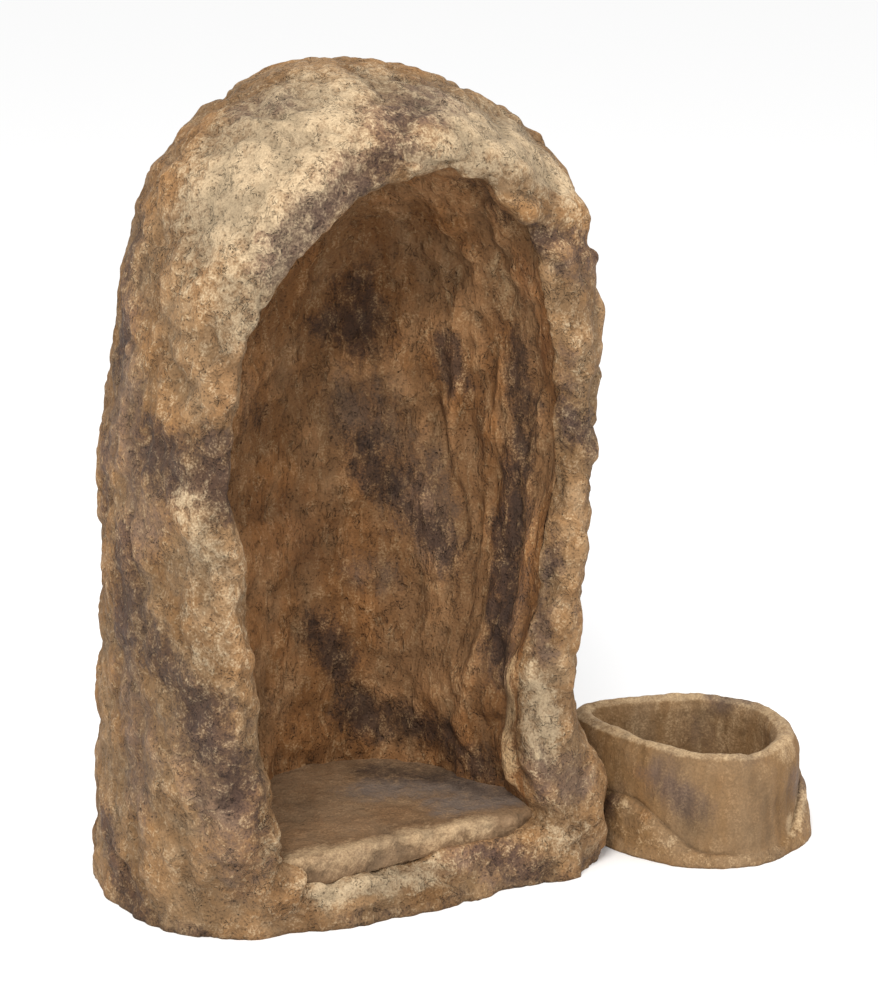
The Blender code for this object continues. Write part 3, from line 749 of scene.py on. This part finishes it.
def make_basin():
    bm = fused(("basin_bowl", "basin_skirt"), BASIN_GRID, BASIN_GROWS)
    points = coordinates(bm)
    underside = points[:, 2] < BASIN_GROUND
    points = relaxed(bm, points, BASIN_ROUNDS, underside)
    set_coordinates(bm, points)
    bm.verts.index_update()
    side = nearness(points, ("basin_skirt",), ("basin_bowl",))
    cut = cut_where_zero(bm, on_mesh(bm, side, CUT_ROUNDS))
    bm.verts.index_update()
    bm.verts.ensure_lookup_table()
    bm.normal_update()
    points = coordinates(bm)
    facing = np.array([v.normal for v in bm.verts], float)
    side = np.array([v[cut] for v in bm.verts])
    skirt = smoothstep(0.006, -0.002, side)
    low = smoothstep(0.0, 0.012, points[:, 2])
    broad = 0.0016 * noise(points, (0.06, 0.06, 0.10), 81) + 0.0010 * noise(points, 0.03, 83)
    broad += 0.0011 * noise(points, (0.016, 0.016, 0.09), 85) * (1 - skirt)
    broad += skirt * 0.0022 * fractal(points, 0.030, 2, 87)
    # The collar stands proud, with a crease over it, except in front where it runs out flush
    centre = np.mean(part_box("basin_bowl"), 0)
    spread_x = (points[:, 0] - centre[0] - 0.03) / 0.050
    proud = 1 - np.exp(-(spread_x**4)) * (points[:, 1] < centre[1])
    crease = 0.0024 * np.exp(-((side / 0.0016) ** 2))
    broad += proud * (0.0034 * smoothstep(-0.0005, -0.0050, side) - crease)
    fine = 0.0006 * fractal(points, 0.012, 2, 89)
    height = broad + fine
    shift = height[:, None] * facing
    shift[:, 2] *= low
    moved = points + shift
    moved[:, 2] = np.where(points[:, 2] < BASIN_GROUND, 0, np.maximum(moved[:, 2], 0))
    moved[:, 2] *= BASIN_TALLER
    set_coordinates(bm, moved)
    # Painted highlight: the rim's upward-facing top is painted paler, and the wall facing in round
    # the water is painted paler too
    paint = painted(moved, BASIN_PAINT)
    rim = 0.62 * smoothstep(0.30, 0.90, facing[:, 2]) * smoothstep(0.110, 0.135, moved[:, 2])
    outward = moved[:, :2] - centre[:2]
    inward = -(outward * facing[:, :2]).sum(1) / np.linalg.norm(outward, axis=1)
    pale = np.maximum(rim, 0.34 * smoothstep(0.10, 0.60, inward))
    paint[:, KINDS.index("cream")] = np.maximum(paint[:, KINDS.index("cream")], pale)
    store(bm, paint, height / FINE_UNIT, np.ones(len(moved), bool))
    outer = negative_side(bm, cut)
    bowl = {f for f in bm.faces if f not in outer}
    made = [(finished(bm, "basin_bowl_stone", bowl), ("basin_bowl",)),
            (finished(bm, "basin_skirt_mortar", outer), ("basin_skirt",))]
    bm.free()
    return made


# ---------------------------------------------------------------- materials

class Nodes:
    """Short calls for building a node tree."""

    def __init__(self, material):
        material.use_nodes = True
        self.tree = material.node_tree
        self.shader = self.tree.nodes["Principled BSDF"]

    def add(self, kind, settings=None, **inputs):
        node = self.tree.nodes.new("ShaderNode" + kind)
        for key, value in (settings or {}).items():
            setattr(node, key, value)
        for key, value in inputs.items():
            self.put(node.inputs[key.replace("_", " ")], value)
        return node

    def put(self, socket, value):
        if isinstance(value, bpy.types.NodeSocket):
            self.tree.links.new(value, socket)
        else:
            socket.default_value = value

    def math(self, operation, a, b=0.0, c=0.0):
        node = self.tree.nodes.new("ShaderNodeMath")
        node.operation = operation
        for socket, value in zip(node.inputs, (a, b, c)):
            self.put(socket, value)
        return node.outputs[0]

    def noise(self, vector, scale, detail=3.0, roughness=0.55, distortion=0.0):
        node = self.add("TexNoise", Vector=vector, Scale=scale, Detail=detail,
                        Roughness=roughness, Distortion=distortion)
        return node.outputs["Fac"]

    def ramp(self, value, low, high, start=0.0, end=1.0):
        node = self.add("MapRange", {"interpolation_type": "SMOOTHSTEP"}, Value=value)
        for key, number in zip(("From Min", "From Max", "To Min", "To Max"),
                               (low, high, start, end)):
            self.put(node.inputs[key], number)
        return node.outputs["Result"]

    def mix(self, share, first, second, blend="MIX"):
        node = self.tree.nodes.new("ShaderNodeMix")
        node.data_type = "RGBA"
        node.blend_type = blend
        self.put(node.inputs[0], share)
        self.put(node.inputs[6], first)
        self.put(node.inputs[7], second)
        return node.outputs[2]

    def bump(self, height, strength, distance, normal=None):
        node = self.add("Bump", Height=height, Strength=strength, Distance=distance)
        if normal is not None:
            self.put(node.inputs["Normal"], normal)
        return node.outputs["Normal"]


def colour(red, green, blue):
    """A screen colour, 0 to 255, as the linear colour a shader takes."""
    def linear(value):
        value /= 255
        return value / 12.92 if value <= 0.04045 else ((value + 0.055) / 1.055) ** 2.4
    return (linear(red), linear(green), linear(blue), 1.0)


def rock(name, tan, ochre, cream, umber, violet, rust, pitting=1.0, stretch=1.0, wear_and_pit_shade=1.0):
    """Painted mortar: mottled tan and ochre, dry-brushed cream crests, dark washes in hollows, with
    painted shade in the relief's hollows, dents and pits and a painted highlight on its ridges.
    """
    material = bpy.data.materials.new(name)
    n = Nodes(material)
    place = n.add("TexCoord").outputs["Object"]
    streaked = n.add("Mapping", Vector=place, Scale=(1.0, 1.0, 1.0 / stretch)).outputs["Vector"]
    paint = n.add("Attribute", {"attribute_name": "paint"})
    kinds = n.add("SeparateColor", Color=paint.outputs["Color"])
    relief = n.add("Attribute", {"attribute_name": "relief"}).outputs["Fac"]
    swell = n.noise(streaked, 10.0, 3.0, 0.6, 0.4)
    blotch = n.noise(streaked, 34.0, 3.0, 0.55, 0.4)
    mottle = n.noise(streaked, 84.0, 2.5, 0.52, 0.5)
    grain = n.noise(place, 360.0, 2.0, 0.65)

    def grooves(scale, width, seldom):
        """Short curved dents: bent lines, of which only some stretches are kept."""
        line = n.math("ABSOLUTE", n.math("SUBTRACT", n.noise(streaked, scale, 2.0, 0.5, 0.9), 0.5))
        line = n.ramp(line, 0.0, width, 1.0, 0.0)
        return n.math("MULTIPLY", line, n.ramp(n.noise(place, 0.55 * scale), seldom, seldom + 0.10))

    dents = n.math("MAXIMUM", grooves(44.0, 0.030, 0.53), grooves(88.0, 0.034, 0.51))
    pits = n.add("TexVoronoi", {"feature": "SMOOTH_F1"}, Vector=place, Scale=230.0,
                 Smoothness=0.4).outputs["Distance"]
    pits = n.math("MULTIPLY", n.ramp(pits, 0.10, 0.40, 1.0, 0.0), n.ramp(mottle, 0.56, 0.44))
    ragged = n.math("MULTIPLY_ADD", blotch, 0.9, -0.45)
    ragged = n.math("ADD", ragged, n.math("MULTIPLY_ADD", mottle, 1.1, -0.55))
    ragged = n.math("ADD", ragged, n.math("MULTIPLY_ADD", grain, 0.9, -0.45))

    def mask(amount, low, high, side=1.0):
        worn = n.math("MULTIPLY", n.math("MULTIPLY", ragged, side * (0.4 + 0.6 * wear_and_pit_shade)),
                      n.ramp(amount, 0.0, 0.30))
        return n.ramp(n.math("ADD", amount, worn), low, high)

    crest = n.math("MULTIPLY", n.ramp(mottle, 0.48, 0.66), n.ramp(grain, 0.40, 0.60))
    hollow = n.math("MULTIPLY", n.ramp(mottle, 0.50, 0.34), n.ramp(swell, 0.35, 0.62, 0.35, 1.0))
    shade = n.mix(n.ramp(swell, 0.40, 0.60), tan, ochre)
    shade = n.mix(n.math("MULTIPLY", n.ramp(blotch, 0.50, 0.74), 0.14), shade, rust)
    shade = n.mix(n.math("MULTIPLY", mask(paint.outputs["Alpha"], 0.15, 0.85), 0.70), shade, rust)
    shade = n.mix(n.math("MULTIPLY", mask(kinds.outputs["Blue"], 0.20, 1.00), 0.85), shade, cream)
    shade = n.mix(n.math("MULTIPLY", n.ramp(blotch, 0.48, 0.34), 0.12 * wear_and_pit_shade), shade,
                  cream)
    shade = n.mix(n.math("MULTIPLY", crest, 0.26 * wear_and_pit_shade), shade, cream)
    shade = n.mix(n.math("MULTIPLY", hollow, 0.16 * wear_and_pit_shade), shade, umber)
    stain = mask(kinds.outputs["Green"], 0.12, 0.95, -1.0)
    shade = n.mix(n.math("MULTIPLY", stain, 0.72), shade, violet)
    stain = mask(kinds.outputs["Red"], 0.14, 1.02, -1.0)
    shade = n.mix(n.math("MULTIPLY", stain, 0.84), shade, umber)
    grains = n.math("MULTIPLY", crest, n.ramp(grain, 0.50, 0.62))
    shade = n.mix(n.math("MULTIPLY", grains, 0.30 * wear_and_pit_shade), shade, cream)
    # Painted shade and painted highlight: darker in the relief's hollows, lighter on its ridges
    low, high = n.ramp(relief, -0.9, 0.1, 0.66, 1.0), n.ramp(relief, 0.1, 1.2, 1.0, 1.14)
    painted_shade_and_tone = n.math("MULTIPLY", low, high)
    painted_shade_and_tone = n.math("MULTIPLY", painted_shade_and_tone, n.ramp(grain, 0.30, 0.70, 0.86, 1.12))
    painted_shade_and_tone = n.math("MULTIPLY", painted_shade_and_tone, n.ramp(swell, 0.32, 0.52, 0.86, 1.0))
    # Painted shade in the dents and pits
    painted_shade_and_tone = n.math("MULTIPLY", painted_shade_and_tone, n.math("MULTIPLY_ADD", dents, -0.16 * wear_and_pit_shade, 1.0))
    painted_shade_and_tone = n.math("MULTIPLY", painted_shade_and_tone, n.math("MULTIPLY_ADD", pits, -0.28 * wear_and_pit_shade, 1.0))
    painted_shade_and_tone_grey = n.add("CombineColor", Red=painted_shade_and_tone, Green=painted_shade_and_tone, Blue=painted_shade_and_tone).outputs[0]
    shade = n.mix(1.0, shade, painted_shade_and_tone_grey, "MULTIPLY")
    n.put(n.shader.inputs["Base Color"], shade)
    n.put(n.shader.inputs["Roughness"], n.ramp(blotch, 0.35, 0.65, 0.78, 0.92))
    n.shader.inputs["Specular IOR Level"].default_value = 0.28
    normal = n.bump(blotch, 0.60 * pitting, 0.014)
    normal = n.bump(mottle, 0.90 * pitting, 0.0070, normal)
    normal = n.bump(n.math("MULTIPLY", dents, -1.0), 0.80 * pitting, 0.0026, normal)
    normal = n.bump(grain, 0.60 * pitting, 0.0020, normal)
    normal = n.bump(n.math("MULTIPLY", pits, -1.0), 0.70 * pitting, 0.0014, normal)
    n.put(n.shader.inputs["Normal"], normal)
    return material


def laminate():
    """Bare glass-mat laminate, for the base plate."""
    material = bpy.data.materials.new("laminate")
    n = Nodes(material)
    place = n.add("TexCoord").outputs["Object"]
    strands = n.noise(n.add("Mapping", Vector=place, Scale=(1.0, 7.0, 1.0),
                            Rotation=(0.0, 0.0, 0.7)).outputs["Vector"], 60.0, 5.0, 0.7, 1.5)
    crossed = n.noise(n.add("Mapping", Vector=place, Scale=(7.0, 1.0, 1.0),
                            Rotation=(0.0, 0.0, 0.3)).outputs["Vector"], 60.0, 5.0, 0.7, 1.5)
    mat = n.math("MAXIMUM", strands, crossed)
    n.put(n.shader.inputs["Base Color"],
          n.mix(n.ramp(mat, 0.45, 0.75), colour(92, 84, 70), colour(150, 140, 118)))
    n.put(n.shader.inputs["Roughness"], n.ramp(mat, 0.4, 0.8, 0.75, 0.45))
    n.put(n.shader.inputs["Normal"], n.bump(mat, 0.5, 0.001))
    return material


# ---------------------------------------------------------------- stage

def aim(obj, target):
    away = Vector(obj.location) - Vector(target)
    obj.rotation_euler = away.to_track_quat("Z", "Y").to_euler()


def area_light(name, place, target, size, power, tint):
    light = bpy.data.lights.new(name, "AREA")
    light.shape = "DISK"
    light.size = size
    light.energy = power
    light.color = tint
    obj = bpy.data.objects.new(name, light)
    bpy.context.scene.collection.objects.link(obj)
    obj.location = place
    aim(obj, target)
    return obj


def make_stage():
    low, high = (np.array(c) for c in cad_box)
    middle = (low + high) / 2
    mesh = bpy.data.meshes.new("floor")
    far, under = 40.0, -0.0005
    corners = [(-far, -far, under), (far, -far, under), (far, far, under), (-far, far, under)]
    mesh.from_pydata(corners, [], [(0, 1, 2, 3)])
    floor = bpy.data.objects.new("floor", mesh)
    bpy.context.scene.collection.objects.link(floor)
    pale = bpy.data.materials.new("pale_floor")
    pale.use_nodes = True
    matt = pale.node_tree.nodes["Principled BSDF"].inputs
    matt["Base Color"].default_value = (FLOOR_WHITE, FLOOR_WHITE, FLOOR_WHITE, 1)
    matt["Roughness"].default_value = 0.9
    matt["Specular IOR Level"].default_value = 0.0
    mesh.materials.append(pale)

    world = bpy.data.worlds.new("studio")
    world.use_nodes = True
    sky = world.node_tree.nodes["Background"].inputs
    sky["Color"].default_value = (1.0, 1.0, 1.0, 1)
    sky["Strength"].default_value = WORLD_STRENGTH
    bpy.context.scene.world = world

    for name, (place, size, power, tint) in LIGHTS.items():
        area_light(name, middle + place, middle, size, power, tint)

    camera = bpy.data.objects.new("camera", bpy.data.cameras.new("camera"))
    bpy.context.scene.collection.objects.link(camera)
    camera.data.sensor_width = 36.0
    camera.data.lens = CAMERA_LENS
    camera.data.clip_end = 200.0
    target = middle + CAMERA_AIM
    camera.location = target + CAMERA_AWAY
    aim(camera, target)
    bpy.context.scene.camera = camera
    bpy.context.scene.view_settings.view_transform = "Standard"
    bpy.context.scene.view_settings.look = "None"


def main():
    outer = dict(tan=colour(146, 114, 79), ochre=colour(138, 102, 64),
                 cream=colour(188, 166, 134), umber=colour(77, 56, 46),
                 violet=colour(112, 89, 75), rust=colour(138, 100, 63))
    inner = dict(tan=colour(144, 105, 68), ochre=colour(131, 89, 50),
                 cream=colour(178, 150, 112), umber=colour(62, 45, 36),
                 violet=colour(98, 79, 66), rust=colour(124, 80, 46))
    paving = dict(tan=colour(130, 104, 77), ochre=colour(118, 91, 64),
                  cream=colour(176, 150, 116), umber=colour(64, 49, 40),
                  violet=colour(110, 101, 95), rust=colour(128, 94, 62))
    bowl = dict(tan=colour(130, 103, 73), ochre=colour(122, 92, 58),
                cream=colour(192, 166, 130), umber=colour(72, 53, 43),
                violet=colour(98, 80, 71), rust=colour(128, 90, 53))
    materials = {
        "rock_front": rock("rock_front_paint", **outer),
        "rock_rear": rock("rock_rear_paint", **outer),
        "cave_wall": rock("cave_wall_paint", stretch=2.2, **inner),
        "floor_stone": rock("floor_stone_paint", pitting=0.45, wear_and_pit_shade=0.4, **paving),
        "basin_stone": rock("basin_stone_paint", pitting=0.35, stretch=3.0, wear_and_pit_shade=0.25, **bowl),
        "basin_mortar": rock("basin_mortar_paint", pitting=0.6, wear_and_pit_shade=0.6, **bowl),
    }
    for obj, nodes in make_grotto() + make_floor() + make_basin():
        slot = SLOTS[nodes[0]]
        obj.data.materials.clear()
        obj.data.materials.append(materials[slot])
        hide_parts(*nodes)
        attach(obj, "basin" if slot.startswith("basin") else "grotto")
    plate = frame["nodes"]["base_plate"]
    plate.data.materials.clear()
    plate.data.materials.append(laminate())
    make_stage()


main()
